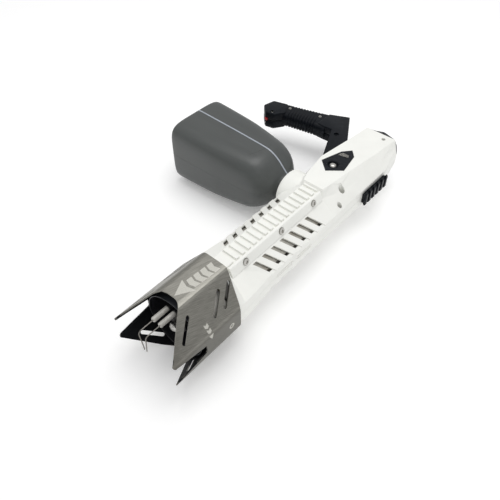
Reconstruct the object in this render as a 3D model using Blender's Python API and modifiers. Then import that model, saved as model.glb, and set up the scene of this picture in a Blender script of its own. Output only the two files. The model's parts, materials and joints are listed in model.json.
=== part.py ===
"""Hand-held farm torch with a side tank, built as separate pieces.

The torch lies on its side, as it does on a table. All sizes are in metres.
In the device frame used here +X points to the muzzle, +Z is up, and the
middle plane of the body, the tank and the handle is z = 0. An empty carries
everything to the resting position.
"""

import math

import bmesh
import bpy
from mathutils import Matrix, Vector

NAME = "farm_torch"

# ---- driving dimensions ---------------------------------------------------
GAP = 0.0003                 # clearance between pieces that touch
PARTING = 0.00015            # each clamshell half stops this far from z = 0
WALL = 0.0026                # moulded wall of the body shells

SIDE_Y = 0.0398              # half width of the body at its side faces
FOLD_Z = 0.0136              # half height of the side faces
BAND_Y = 0.0170              # where the slotted face meets the steep band
BAND_Z = 0.0305
DECK_Y = 0.0135              # flat deck that carries the side rail
DECK_Z = 0.0365

RAIL_PITCH = 0.010
RAIL_TEETH = 16
RAIL_FIRST_X = 0.0700
RAIL_TOP = 0.0420
RAIL_HALF = 0.0106
RAIL_REAR_X = -0.0850
RAIL_FRONT_X = 0.0835
GROOVE_DEPTH = 0.0030
GROOVE_WIDTH = 0.0052

SLOT_PITCH = 0.01627
SLOT_COUNT = 7
SLOT_FIRST_X = 0.0495
SLOT_RUN_X = -0.0120         # a slot leans this far back on its way down
SLOT_WIDTH = 0.0067
SLOT_TOP_Y = 0.0213
SLOT_LOW_Y = 0.0370
NOTCH_DEPTH = 0.0013

HOUSING_FRONT_X = -0.0895
HOUSING_REAR_X = -0.2560
REAR_SIDE_Y = 0.0310
REAR_FOLD_Z = 0.0080
REAR_DECK_Y = 0.0233
REAR_DECK_Z = 0.0305

WELL_FLOOR = 0.0105          # height of the seats of the shell screws
WELLS = (                    # x, y and radius of each well over a shell screw
    (-0.1200, 0.0245, 0.0045),
    (-0.1030, 0.0345, 0.0034),
    (-0.2450, 0.0106, 0.0030),
)
SCREW_HOLE_R = 0.0018

LINER_TOP_Y = 0.0119
LINER_TOP_Z = 0.0295
LINER_SIDE_Y = 0.0320
LINER_SIDE_Z = 0.0146
LINER_SHEET = 0.0012

SHROUD_SHEET = 0.0015
SHROUD_TOP_Z = 0.0523
SHROUD_DECK_Y = 0.0167
SHROUD_SIDE_Y = 0.0467
SHROUD_FOLD_Z = 0.0165
SHROUD_REAR_X = 0.0895
SHROUD_REAR_SIDE_X = 0.1014
SHROUD_BEND_R = 0.0055
PRONG_TIP_X = 0.1998
PRONG_TIP_R = 0.0040
NOTCH_TOP_X = 0.1600
NOTCH_SIDE_X = 0.1544
SHROUD_SLOT_X = (0.1068, 0.1225, 0.1672)
SHROUD_SLOT_S = 0.0236       # distance of a slot's middle from the top fold
SHROUD_SLOT_HALF = 0.0132
SHROUD_SLOT_R = 0.0022

TANK_X = -0.1030
TANK_WALL = 0.0030
TANK_RING = 36
NECK_R = 0.0165
NECK_END_Y = -0.0330
MOUNT_X = -0.1035
MOUNT_R = 0.0278
MOUNT_FACE_Y = -0.0500
MOUNT_BACK_Y = -0.0220

GRIP_START = Vector((-0.2575, -0.0960, 0.0))
GRIP_END = Vector((-0.2360, -0.1822, 0.0))
GRIP_HALF_WIDTH = 0.0181      # at the arm; the grip narrows by GRIP_TAPER per metre
GRIP_TAPER = 0.052
GRIP_SHIFT = 0.0031
GRIP_HALF_HEIGHT = 0.0119
FRONT_POWER, REAR_POWER = 4.0, 9.0   # a high power gives a squarer edge
GRIP_GROOVES = 10
GROOVE_START, GROOVE_STEP = 0.0114, 0.00481
ARM_HALF_HEIGHT = 0.0125
BLOCK_HALF_HEIGHT = 0.0140
HANDLE_SCREWS = ((-0.2575, -0.1070), (-0.2445, -0.1562), (-0.2165, -0.1700))
HANDLE_SEAT = 0.0090
ARM_BOLT = (-0.2346, -0.0606)

BUTTON_R = 0.0048
BUTTON_WELL_R = 0.0074
BUTTON_AT = (-0.1432, -0.0062)
PANEL = ((-0.1250, -0.0060), (-0.1410, -0.0230), (-0.1760, -0.0150),
         (-0.1890, -0.0055), (-0.1780, 0.0042), (-0.1420, 0.0118))

ACC_RAIL_REAR_X = -0.2050
ACC_RAIL_LENGTH = 0.0530
ACC_RAIL_SLOTS = 5
ACC_RAIL_HALF = 0.0106
ACC_RAIL_TOP_Y = 0.0470

CAP_REAR_X = -0.2660

FLAME_TUBE_R = 0.0410
FLAME_TUBE_WALL = 0.0011
FLAME_TUBE_X = (0.1093, 0.1575)
ELECTRODE_Y = 0.0052
ELECTRODE_Z = 0.0300
ELECTRODE_BEND_X = 0.1945
INSULATOR_R = 0.0031
INSULATOR_REAR_X = 0.1320
INSULATOR_LENGTH = 0.0520

# The middle of the torch's box in x and y, which goes over the origin.
BOX_MIDDLE = (-0.0428, -0.0900)

# ---- scene and materials --------------------------------------------------


def clear_scene():
    for old in list(bpy.data.objects):
        bpy.data.objects.remove(old, do_unlink=True)


def new_collection(name):
    collection = bpy.data.collections.new(name)
    bpy.context.scene.collection.children.link(collection)
    return collection


def make_material(name, colour, roughness, metallic=0.0):
    material = bpy.data.materials.new(name)
    material.use_nodes = True
    shader = material.node_tree.nodes["Principled BSDF"]
    shader.inputs["Base Color"].default_value = (*colour, 1.0)
    shader.inputs["Roughness"].default_value = roughness
    shader.inputs["Metallic"].default_value = metallic
    material.diffuse_color = (*colour, 1.0)
    return material


clear_scene()
PARTS = new_collection(NAME)
CUTTERS = new_collection("cutters")

WHITE = make_material("white_nylon", (0.86, 0.86, 0.82), 0.45)
BLACK = make_material("black_nylon", (0.018, 0.020, 0.024), 0.55)
GREY = make_material("grey_tank_plastic", (0.115, 0.125, 0.120), 0.42)
STEEL = make_material("brushed_steel", (0.34, 0.33, 0.30), 0.38, 1.0)
LINER = make_material("liner_steel", (0.42, 0.40, 0.36), 0.45, 1.0)
BRIGHT = make_material("bright_screw_steel", (0.62, 0.61, 0.58), 0.25, 1.0)
CERAMIC = make_material("ceramic", (0.74, 0.73, 0.68), 0.35)
RED = make_material("red_plastic", (0.45, 0.02, 0.03), 0.40)
STRIP = make_material("pale_level_strip", (0.42, 0.45, 0.52), 0.35)
BRASS = make_material("brass", (0.60, 0.44, 0.18), 0.35, 1.0)
BATTERY = make_material("battery_wrap", (0.05, 0.12, 0.22), 0.45)
BOARD = make_material("circuit_board", (0.03, 0.16, 0.08), 0.50)

FRAME = bpy.data.objects.new("resting_frame", None)
PARTS.objects.link(FRAME)

# ---- shape tools ----------------------------------------------------------

FACING = {                   # outline frames whose own z runs along the axis named
    "X": Matrix(((0, 0, 1, 0), (1, 0, 0, 0), (0, 1, 0, 0), (0, 0, 0, 1))),
    "Y": Matrix(((1, 0, 0, 0), (0, 0, 1, 0), (0, 1, 0, 0), (0, 0, 0, 1))),
    "Z": Matrix.Identity(4),
}


def add_mesh(name, bm, material=None, pivot=(0.0, 0.0, 0.0)):
    """Put a bmesh in the scene with its origin at pivot; with no material it is a cutter."""
    bmesh.ops.translate(bm, verts=bm.verts, vec=-Vector(pivot))
    mesh = bpy.data.meshes.new(name)
    bm.to_mesh(mesh)
    bm.free()
    part = bpy.data.objects.new(name, mesh)
    part.location = pivot
    part.parent = FRAME
    if material is None:
        CUTTERS.objects.link(part)
        part.display_type = "WIRE"
        part.hide_render = True
    else:
        mesh.materials.append(material)
        PARTS.objects.link(part)
        mesh.shade_smooth()
        mesh.set_sharp_from_angle(angle=math.radians(32))
    return part


def face_out(bm):
    """Make the faces of one closed shape point out of it."""
    bm.normal_update()
    bmesh.ops.recalc_face_normals(bm, faces=bm.faces)
    if bm.calc_volume(signed=True) < 0:
        bmesh.ops.reverse_faces(bm, faces=bm.faces)


def join_into(bm, piece):
    """Move the geometry of piece into bm."""
    mesh = bpy.data.meshes.new("piece")
    piece.to_mesh(mesh)
    piece.free()
    bm.from_mesh(mesh)
    bpy.data.meshes.remove(mesh)


def box_into(bm, low, high):
    low, high = Vector(low), Vector(high)
    place = Matrix.Translation((low + high) / 2) @ Matrix.Diagonal((*(high - low), 1.0))
    bmesh.ops.create_cube(bm, size=1.0, matrix=place)


def box(name, low, high, material):
    bm = bmesh.new()
    box_into(bm, low, high)
    return add_mesh(name, bm, material)


def turn_to(direction):
    return Vector((0, 0, 1)).rotation_difference(Vector(direction)).to_matrix().to_4x4()


def rod_into(bm, start, end, radius, sides=32):
    start, end = Vector(start), Vector(end)
    place = Matrix.Translation((start + end) / 2) @ turn_to(end - start)
    bmesh.ops.create_cone(bm, cap_ends=True, segments=sides, radius1=radius,
                          radius2=radius, depth=(end - start).length, matrix=place)


def rod(name, start, end, radius, material, sides=32):
    bm = bmesh.new()
    rod_into(bm, start, end, radius, sides)
    return add_mesh(name, bm, material)


def slab_into(bm, outline, low, high, place):
    """Extrude a flat outline from low to high along place's own z axis."""
    curve = bpy.data.curves.new("outline", "CURVE")
    curve.dimensions = "2D"
    curve.fill_mode = "BOTH"
    curve.extrude = (high - low) / 2
    spline = curve.splines.new("POLY")
    spline.points.add(len(outline) - 1)
    for point, (u, v) in zip(spline.points, outline):
        point.co = (u, v, 0.0, 1.0)
    spline.use_cyclic_u = True
    guide = bpy.data.objects.new("outline", curve)
    mesh = bpy.data.meshes.new_from_object(guide)
    bpy.data.objects.remove(guide)
    bpy.data.curves.remove(curve)
    piece = bmesh.new()
    piece.from_mesh(mesh)
    bpy.data.meshes.remove(mesh)
    bmesh.ops.remove_doubles(piece, verts=piece.verts, dist=0.00001)
    bmesh.ops.translate(piece, verts=piece.verts, vec=(0, 0, (low + high) / 2))
    piece.transform(place)
    face_out(piece)
    join_into(bm, piece)


def slab(name, outline, low, high, axis, material=None):
    bm = bmesh.new()
    slab_into(bm, outline, low, high, FACING[axis])
    return add_mesh(name, bm, material)


def loft_into(bm, rings, caps=True):
    """Join closed rings of equally many points, and close the two ends."""
    rows = [[bm.verts.new(point) for point in ring] for ring in rings]
    count = len(rows[0])
    for near, far in zip(rows, rows[1:]):
        for i in range(count):
            k = (i + 1) % count
            bm.faces.new((near[i], near[k], far[k], far[i]))
    if caps:
        bm.faces.new(rows[0])
        bm.faces.new(rows[-1])
        face_out(bm)


def turned(name, profile, start, direction, material, sides=32):
    """Turn (radius, height) points, listed down the outer side, round an axis."""
    bm = bmesh.new()
    closed = profile[0] == profile[-1]
    points = profile[:-1] if closed else profile
    line = [bm.verts.new((radius, 0.0, height)) for radius, height in points]
    if closed:
        line.append(line[0])
    for first, second in zip(line, line[1:]):
        bm.edges.new((first, second))
    part = add_mesh(name, bm, material)
    part.matrix_basis = Matrix.Translation(start) @ turn_to(direction)
    screw = part.modifiers.new("turn", "SCREW")
    screw.steps = sides
    screw.render_steps = sides
    screw.use_merge_vertices = True
    screw.merge_threshold = 0.00002
    return part


def tube(name, points, radius, material):
    """A bent wire through the points, with closed ends."""
    curve = bpy.data.curves.new(name, "CURVE")
    curve.dimensions = "3D"
    curve.bevel_depth = radius
    curve.bevel_resolution = 2
    curve.use_fill_caps = True
    spline = curve.splines.new("POLY")
    spline.points.add(len(points) - 1)
    for point, place in zip(spline.points, points):
        point.co = (*place, 1.0)
    curve.materials.append(material)
    part = bpy.data.objects.new(name, curve)
    PARTS.objects.link(part)
    part.parent = FRAME
    weld = part.modifiers.new("weld", "WELD")
    weld.merge_threshold = 0.00002
    return part


def cut(part, cutter, operation="DIFFERENCE"):
    step = part.modifiers.new("boolean_" + cutter.name, "BOOLEAN")
    step.operation = operation
    step.object = cutter
    step.solver = "EXACT"
    step.use_self = True


def arc(centre, radius, start, end, steps):
    """Points of an arc, in degrees, in the plane of an outline."""
    points = []
    for i in range(steps + 1):
        turn = math.radians(start + (end - start) * i / steps)
        points.append((centre[0] + radius * math.cos(turn), centre[1] + radius * math.sin(turn)))
    return points


def rounded_box(half_w, half_h, power, count):
    """Points of a superellipse: a power of 2 is an ellipse, a high one a box."""
    points = []
    for i in range(count):
        turn = 2 * math.pi * (i + 0.5) / count
        c, s = math.cos(turn), math.sin(turn)
        points.append((half_w * math.copysign(abs(c) ** (2 / power), c),
                       half_h * math.copysign(abs(s) ** (2 / power), s)))
    return points


def grown(outline, distance):
    """An outline moved outwards by a distance, with mitred corners."""
    points = [Vector(point) for point in outline]
    area = sum(a.x * b.y - b.x * a.y for a, b in zip(points, points[1:] + points[:1]))
    turn = 1 if area > 0 else -1
    moved = []
    for i, point in enumerate(points):
        before = (point - points[i - 1]).normalized()
        after = (points[(i + 1) % len(points)] - point).normalized()
        out_before = Vector((before.y, -before.x)) * turn
        out_after = Vector((after.y, -after.x)) * turn
        half_way = (out_before + out_after).normalized()
        moved.append(tuple(point + half_way * distance / max(half_way.dot(out_after), 0.5)))
    return moved


# ---- body shells ----------------------------------------------------------

# A side gives its y, fold z, band y, band z and deck y.
MIDDLE = (SIDE_Y, FOLD_Z, BAND_Y, BAND_Z, DECK_Y)
FLARE = (0.0428, 0.0146, BAND_Y, BAND_Z, DECK_Y)
RAMP = (0.0438, 0.0148, BAND_Y, BAND_Z, DECK_Y)
COLLAR = (0.0441, 0.0146, 0.0300, 0.0326, 0.0152)
COLLAR_TOP = 0.0496
REAR = (REAR_SIDE_Y, REAR_FOLD_Z, 0.0272, 0.0192, REAR_DECK_Y)

STATIONS = (                 # x, the +Y side, the -Y side, and the deck's height
    (0.1080, COLLAR, COLLAR, COLLAR_TOP),
    (0.0905, COLLAR, COLLAR, COLLAR_TOP),
    (0.0843, RAMP, RAMP, DECK_Z),
    (0.0700, FLARE, FLARE, DECK_Z),
    (0.0400, MIDDLE, MIDDLE, DECK_Z),
    (-0.0858, MIDDLE, MIDDLE, DECK_Z),
    (HOUSING_FRONT_X, (SIDE_Y, FOLD_Z, 0.0180, 0.0305, 0.0150),
     (SIDE_Y, FOLD_Z, 0.0190, 0.0305, 0.0150), RAIL_TOP),
    (-0.1070, (SIDE_Y, FOLD_Z, 0.0236, 0.0280, 0.0160),
     (SIDE_Y, FOLD_Z, 0.0280, 0.0275, 0.0210), 0.0408),
    (-0.1480, (SIDE_Y, FOLD_Z, 0.0289, 0.0258, 0.0180),
     (SIDE_Y, FOLD_Z, 0.0344, 0.0250, 0.0290), 0.0380),
    (-0.2070, (SIDE_Y, FOLD_Z, 0.0310, 0.0240, 0.0222),
     (0.0365, 0.0120, 0.0308, 0.0230, 0.0250), 0.0339),
    (HOUSING_REAR_X, REAR, REAR, REAR_DECK_Z),
)


def half_section(station, shrink=1.0):
    """The upper half of a cross-section, from the +Y side over to the -Y side."""
    x, near, far, deck_z = station
    points = []
    for side, ends in ((1, near), (-1, far)):
        side_y, fold_z, band_y, band_z, deck_y = ends
        run = [(side_y, 0.0), (side_y, fold_z), (band_y, band_z), (deck_y, deck_z)]
        run = [(x, side * y * shrink, max(z * shrink, PARTING)) for y, z in run]
        points += run if side > 0 else run[::-1]
    return points


def slot_frame():
    """Frame on the slotted face: x along the body, y down the face, z out of it."""
    along = Vector((1.0, 0.0, 0.0))
    down = Vector((0.0, SIDE_Y - BAND_Y, FOLD_Z - BAND_Z)).normalized()
    turn = Matrix((along, down, down.cross(along) * -1)).transposed().to_4x4()
    return Matrix.Translation((0.0, BAND_Y, BAND_Z)) @ turn


def vents(up):
    """The vents of one shell half, on both slotted faces, as one cutter."""
    face = math.hypot(SIDE_Y - BAND_Y, FOLD_Z - BAND_Z)
    per_y = face / (SIDE_Y - BAND_Y)
    top = (SLOT_TOP_Y - BAND_Y) * per_y
    low = (SLOT_LOW_Y - BAND_Y) * per_y
    end = face + 0.0030
    half = SLOT_WIDTH / 2
    bm = bmesh.new()
    for flip in (1, -1):
        for i in range(SLOT_COUNT):
            x_top = SLOT_FIRST_X - i * SLOT_PITCH
            x_low = x_top + SLOT_RUN_X
            x_end = x_top + SLOT_RUN_X * (end - top) / (low - top)
            through = ((x_top - half, top), (x_top + half, top), (x_low + half, low), (x_low - half, low))
            notch = ((x_low - half + 0.0002, low - 0.0006), (x_low + half - 0.0002, low - 0.0006),
                     (x_end + half, end), (x_end - half, end))
            for outline, depth in ((through, 0.0055), (notch, NOTCH_DEPTH)):
                piece = bmesh.new()
                slab_into(piece, outline, -depth, 0.0040, slot_frame())
                piece.transform(Matrix.Diagonal((1, flip, up, 1)))
                face_out(piece)
                join_into(bm, piece)
    return bm


def mount_outline(grow=0.0):
    """Round outline of the tank mount, in x and z."""
    points = rounded_box(MOUNT_R + grow, MOUNT_R + grow, 2.1, 32)
    return [(MOUNT_X + x, z) for x, z in points]


ARM = (                      # plan of the arm
    (-0.1720, -0.0300), (-0.1720, -0.0430), (-0.2080, -0.0590), (-0.2410, -0.0735),
    (-0.2400, -0.0860), (-0.2400, -0.0990), (-0.2716, -0.0990), (-0.2854, -0.0700),
    (-0.2360, -0.0409), (-0.2175, -0.0300))
BLOCK = (                    # plan of the end block of the grip
    (-0.2093, -0.1787), (-0.2233, -0.1928), (-0.2430, -0.1882), (-0.2500, -0.1640),
    (-0.2285, -0.1530), (-0.2120, -0.1640))
ARM_CHAMFER = 0.0012


def screw_posts(side, up):
    """Posts under the shell screws, trimmed to stay inside the outer skin."""
    bm = bmesh.new()
    for x, y, radius in WELLS:
        rod_into(bm, (x, y, up * PARTING), (x, y, up * 0.0500), radius + 0.0014, 20)
    posts = add_mesh("screw_posts_" + side, bm)
    skin = bmesh.new()
    rings = [half_section(station, 0.985) for station in STATIONS[5:]]
    loft_into(skin, [[(x, y, up * z) for x, y, z in ring] for ring in rings])
    cut(posts, add_mesh("inner_skin_" + side, skin), "INTERSECT")
    return posts


def body_shell(up):
    """One half of the clamshell: up is 1 for the upper one, -1 for the lower."""
    side = "upper" if up > 0 else "lower"
    bm = bmesh.new()
    rows = [[bm.verts.new((x, y, up * z)) for x, y, z in half_section(station)]
            for station in STATIONS]
    for near, far in zip(rows, rows[1:]):
        for i in range(len(near) - 1):
            corners = (near[i], far[i], far[i + 1], near[i + 1])
            bm.faces.new(corners if up > 0 else corners[::-1])
    bm.normal_update()
    if sum(face.normal.z * face.calc_area() for face in bm.faces) * up < 0:
        bmesh.ops.reverse_faces(bm, faces=bm.faces)
    shell = add_mesh("body_shell_" + side, bm, WHITE)
    wall = shell.modifiers.new("wall", "SOLIDIFY")
    wall.thickness = WALL
    wall.offset = -1.0
    wall.use_even_offset = True
    cut(shell, screw_posts(side, up), "UNION")

    bm = vents(up)
    for x, y, radius in WELLS:
        if up > 0:
            rod_into(bm, (x, y, WELL_FLOOR), (x, y, 0.0600), radius, 20)
            rod_into(bm, (x, y, -0.0010), (x, y, WELL_FLOOR + 0.0010), SCREW_HOLE_R, 12)
        else:
            rod_into(bm, (x, y, -0.0090), (x, y, 0.0010), SCREW_HOLE_R, 12)
    for place, out in band_screws(up):
        rod_into(bm, place - out * 0.0120, place - out * 0.0010, 0.0017, 12)
    cut(shell, add_mesh("shell_holes_" + side, bm))

    bm = bmesh.new()
    slab_into(bm, mount_outline(GAP), -0.0700, -0.0160, FACING["Y"])
    slab_into(bm, grown(ARM, GAP), -ARM_HALF_HEIGHT - GAP, ARM_HALF_HEIGHT + GAP, FACING["Z"])
    for x_from, x_to in ((0.0310, 0.0000), (-0.0080, -0.0380)):
        middle, reach = (x_from + x_to) / 2, (x_from - x_to) / 2
        groove = ((middle - reach, up * 0.0015), (middle + reach, up * 0.0015),
                  (middle + reach - 0.0012, up * 0.0030), (middle - reach + 0.0012, up * 0.0030))
        slab_into(bm, groove, SIDE_Y - 0.0007, SIDE_Y + 0.0020, FACING["Y"])
    cut(shell, add_mesh("shell_openings_" + side, bm))
    if up > 0:
        cut(shell, panel_recess())


# ---- side rails -----------------------------------------------------------

BAND_SCREW_X = (0.0595, -0.0040, -0.0673)


def band_screws(up):
    """Seat and outward direction of each screw in the steep band of a side rail."""
    out = Vector((0.0, 0.9455, 0.3256 * up))
    return [(Vector((x, 0.01690, 0.0352 * up)), out) for x in BAND_SCREW_X]


def side_rail(up):
    """Toothed rail with a plain front block, a lip and the screw band beside it."""
    side = "upper" if up > 0 else "lower"
    base = DECK_Z + GAP
    groove = RAIL_TOP - GROOVE_DEPTH
    section = ((-RAIL_HALF - 0.0006, base), (DECK_Y + 0.0001, base), (BAND_Y + 0.0006, BAND_Z + 0.0002),
               (0.0197, 0.0294), (0.0156, 0.0408), (0.0150, 0.0413), (0.0122, 0.0413),
               (0.0117, 0.0407), (0.0114, groove + 0.0004), (RAIL_HALF + 0.0002, groove + 0.0004),
               (RAIL_HALF, RAIL_TOP - 0.0006), (RAIL_HALF - 0.0006, RAIL_TOP),
               (-RAIL_HALF + 0.0006, RAIL_TOP), (-RAIL_HALF, RAIL_TOP - 0.0006))
    outline = [(y, up * z) for y, z in section]
    rail = slab("side_rail_" + side, outline, RAIL_REAR_X, RAIL_FRONT_X, "X", WHITE)
    bm = bmesh.new()
    for i in range(RAIL_TEETH):
        middle = RAIL_FIRST_X - i * RAIL_PITCH
        low, high = sorted((up * groove, up * 0.0500))
        box_into(bm, (middle - GROOVE_WIDTH / 2, -0.0200, low),
                 (middle + GROOVE_WIDTH / 2, RAIL_HALF + 0.0004, high))
    for place, out in band_screws(up):
        rod_into(bm, place, place + out * 0.0100, 0.0048, 24)
        rod_into(bm, place - out * 0.0120, place + out * 0.0010, 0.0017, 12)
    cut(rail, add_mesh("rail_cuts_" + side, bm))


def hex_point(radius, turn):
    """The point of a hexagon in a direction."""
    sector = math.pi / 3
    local = turn % sector - sector / 2
    reach = radius * math.cos(sector / 2) / math.cos(local)
    return reach * math.cos(turn), reach * math.sin(turn)


def socket_screws(name, spots, head_r, head_h, shank_r, shank_len, material=BRIGHT):
    """Equal hex-socket screws, numbered, each seated at a spot and facing out."""
    sides = 12
    turns = [2 * math.pi * (k + 0.5) / sides for k in range(sides)]
    profile = ((shank_r, -shank_len), (shank_r, 0.0), (head_r, 0.0), (head_r, head_h * 0.75),
               (head_r * 0.88, head_h), (head_r * 0.56, head_h))
    rings = [[(r * math.cos(t), r * math.sin(t), h) for t in turns] for r, h in profile]
    for height in (head_h - 0.0001, head_h * 0.35):
        rings.append([(*hex_point(head_r * 0.54, t), height) for t in turns])
    bm = bmesh.new()
    loft_into(bm, rings)
    first = add_mesh(f"{name}_1", bm, material)
    for i, (place, out) in enumerate(spots):
        screw = first
        if i > 0:
            screw = bpy.data.objects.new(f"{name}_{i + 1}", first.data)
            PARTS.objects.link(screw)
            screw.parent = FRAME
        screw.matrix_basis = Matrix.Translation(place) @ turn_to(out)


# ---- control panel and button --------------------------------------------

DECK_TILT = math.atan((RAIL_TOP - REAR_DECK_Z) / (HOUSING_FRONT_X - HOUSING_REAR_X))
DECK_FRAME = (Matrix.Translation((HOUSING_FRONT_X, 0.0, RAIL_TOP))
              @ Matrix.Rotation(-DECK_TILT, 4, "Y")
              @ Matrix.Translation((-HOUSING_FRONT_X, 0.0, 0.0)))
DECK_OUT = DECK_FRAME.to_3x3() @ Vector((0, 0, 1))


def panel_recess():
    """Seat of the panel and the hole that the button's bezel hangs in."""
    bm = bmesh.new()
    slab_into(bm, grown(PANEL, GAP), -0.0010, 0.0100, DECK_FRAME)
    place = DECK_FRAME @ Vector((*BUTTON_AT, 0.0))
    rod_into(bm, place - DECK_OUT * 0.0100, place + DECK_OUT * 0.0010, BUTTON_WELL_R + 0.0012, 28)
    return add_mesh("panel_recess", bm)


def control_panel():
    """Black plate, a bezel ring with a sunk round well, the button and a blank badge."""
    bm = bmesh.new()
    slab_into(bm, PANEL, -0.0010 + GAP, 0.0006, DECK_FRAME)
    panel = add_mesh("control_panel", bm, BLACK)
    place = DECK_FRAME @ Vector((*BUTTON_AT, 0.0))
    start, end = place - DECK_OUT * 0.0100, place + DECK_OUT * 0.0100
    cut(panel, rod("panel_hole", start, end, BUTTON_WELL_R + 0.0012, None, 28))
    bore, rim = BUTTON_R + 0.0003, BUTTON_WELL_R + 0.0012 - GAP
    bezel = [(BUTTON_WELL_R, 0.0006), (rim, 0.0006), (rim, -0.0080), (bore, -0.0080),
             (bore, -0.0030), (BUTTON_WELL_R - 0.0010, -0.0022), (BUTTON_WELL_R, 0.0006)]
    turned("button_bezel", bezel, place, DECK_OUT, BLACK, 28)
    dome = [(0.0, 0.0012), (BUTTON_R * 0.45, 0.0009), (BUTTON_R * 0.80, 0.0001),
            (BUTTON_R, -0.0012), (BUTTON_R, -0.0070), (0.0, -0.0070)]
    turned("power_button", dome, place, DECK_OUT, BRIGHT, 28)
    badge = ((-0.1655, -0.0135), (-0.1745, -0.0120), (-0.1745, -0.0020), (-0.1690, 0.0005))
    bm = bmesh.new()
    slab_into(bm, badge, 0.0006 + GAP, 0.0012, DECK_FRAME)
    add_mesh("panel_badge", bm, BRIGHT)


# ---- muzzle shroud --------------------------------------------------------

SHROUD_QUARTER = ((SHROUD_DECK_Y, SHROUD_TOP_Z), (SHROUD_SIDE_Y, SHROUD_FOLD_Z))
SHROUD_RIGHT = SHROUD_QUARTER + tuple((y, -z) for y, z in SHROUD_QUARTER[::-1])
SHROUD_CORNERS = [Vector(point) for point in SHROUD_RIGHT]
SHROUD_CORNERS += [Vector((-y, -z)) for y, z in SHROUD_RIGHT]
SHROUD_PATH = [Vector((0.0, SHROUD_TOP_Z))] + SHROUD_CORNERS + [Vector((0.0, SHROUD_TOP_Z))]


def fold_marks():
    """Unfolded distance of each point of SHROUD_PATH from the middle of the top."""
    marks = [0.0]
    for first, second in zip(SHROUD_PATH, SHROUD_PATH[1:]):
        marks.append(marks[-1] + (second - first).length)
    return marks


FOLD_MARKS = fold_marks()
PERIMETER = FOLD_MARKS[-1]


def bent(s):
    """Where a point of the blank ends up in y and z once the folds are made."""
    last = len(FOLD_MARKS) - 1
    for i in range(1, last):
        offset = s - FOLD_MARKS[i]
        if abs(offset) <= SHROUD_BEND_R:
            corner = SHROUD_PATH[i]
            before = corner + (SHROUD_PATH[i - 1] - corner).normalized() * SHROUD_BEND_R
            after = corner + (SHROUD_PATH[i + 1] - corner).normalized() * SHROUD_BEND_R
            t = (offset + SHROUD_BEND_R) / (2 * SHROUD_BEND_R)
            return before * (1 - t) ** 2 + corner * 2 * t * (1 - t) + after * t ** 2
    for i in range(last):
        if s <= FOLD_MARKS[i + 1] or i == last - 1:
            share = (s - FOLD_MARKS[i]) / (FOLD_MARKS[i + 1] - FOLD_MARKS[i])
            return SHROUD_PATH[i].lerp(SHROUD_PATH[i + 1], share)
    return SHROUD_PATH[-1]


def quarter_blank():
    """Outline of a quarter of the flat blank, from top middle to side middle."""
    fold_top, fold_side = FOLD_MARKS[1], FOLD_MARKS[2]
    side_mid = fold_side + SHROUD_FOLD_Z
    outline = [(SHROUD_REAR_X, 0.0), (SHROUD_REAR_X, fold_top),
               (SHROUD_REAR_SIDE_X, fold_side), (SHROUD_REAR_SIDE_X, side_mid),
               (NOTCH_SIDE_X, side_mid), (NOTCH_SIDE_X, side_mid - 0.0048),
               (NOTCH_SIDE_X + 0.0012, side_mid - 0.0062)]
    outline += arc((PRONG_TIP_X - PRONG_TIP_R, fold_side - 0.0008), PRONG_TIP_R, 72, -48, 6)
    outline += [(NOTCH_TOP_X + 0.0012, fold_top + 0.0004), (NOTCH_TOP_X - 0.0010, fold_top - 0.0022),
                (NOTCH_TOP_X - 0.0036, fold_top - 0.0060), (NOTCH_TOP_X - 0.0050, fold_top - 0.0105),
                (NOTCH_TOP_X - 0.0052, 0.0)]
    return outline


def shroud_slot(middle_x):
    """A leaning oblong on the slanted face of the first quarter."""
    middle = Vector((middle_x, SHROUD_DECK_Y + SHROUD_SLOT_S))
    along = Vector((1.0, 1.0)).normalized()
    across = Vector((-along.y, along.x))
    points = []
    for end, first in ((1, -90), (-1, 90)):
        for u, v in arc((end * SHROUD_SLOT_HALF, 0.0), SHROUD_SLOT_R, first, first + 180, 5):
            points.append(tuple(middle + along * u + across * v))
    return points


def muzzle_shroud():
    """Cut the flat blank with its slots, then bend it round into an octagon."""
    bm = bmesh.new()
    half = PERIMETER / 2
    outlines = [quarter_blank()] + [shroud_slot(x) for x in SHROUD_SLOT_X]
    for mirror, offset in ((1, 0.0), (-1, half), (1, half), (-1, PERIMETER)):
        quarter = bmesh.new()
        for outline in outlines:
            verts = [quarter.verts.new((x, offset + mirror * s, 0.0)) for x, s in outline]
            for first, second in zip(verts, verts[1:] + verts[:1]):
                quarter.edges.new((first, second))
        bmesh.ops.triangle_fill(quarter, use_beauty=True, use_dissolve=False,
                                edges=quarter.edges, normal=(0, 0, 1))
        join_into(bm, quarter)
    for mark in FOLD_MARKS[1:-1]:
        for step in (-1.0, -0.5, 0.0, 0.5, 1.0):
            s = mark + SHROUD_BEND_R * step
            bmesh.ops.bisect_plane(bm, geom=bm.verts[:] + bm.edges[:] + bm.faces[:],
                                   dist=0.00001, plane_co=(0, s, 0), plane_no=(0, 1, 0))
    for vert in bm.verts:
        y, z = bent(vert.co.y)
        vert.co = (vert.co.x, y, z)
    bmesh.ops.remove_doubles(bm, verts=bm.verts, dist=0.00002)
    bmesh.ops.triangulate(bm, faces=bm.faces)
    bm.normal_update()
    inward = []
    for face in bm.faces:
        middle = face.calc_center_median()
        if face.normal.dot(Vector((0.0, middle.y, middle.z))) < 0:
            inward.append(face)
    bmesh.ops.reverse_faces(bm, faces=inward)
    shroud = add_mesh("muzzle_shroud", bm, STEEL)
    sheet = shroud.modifiers.new("sheet", "SOLIDIFY")
    sheet.thickness = SHROUD_SHEET
    sheet.offset = -1.0
    sheet.use_even_offset = True


# ---- tank -----------------------------------------------------------------

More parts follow.
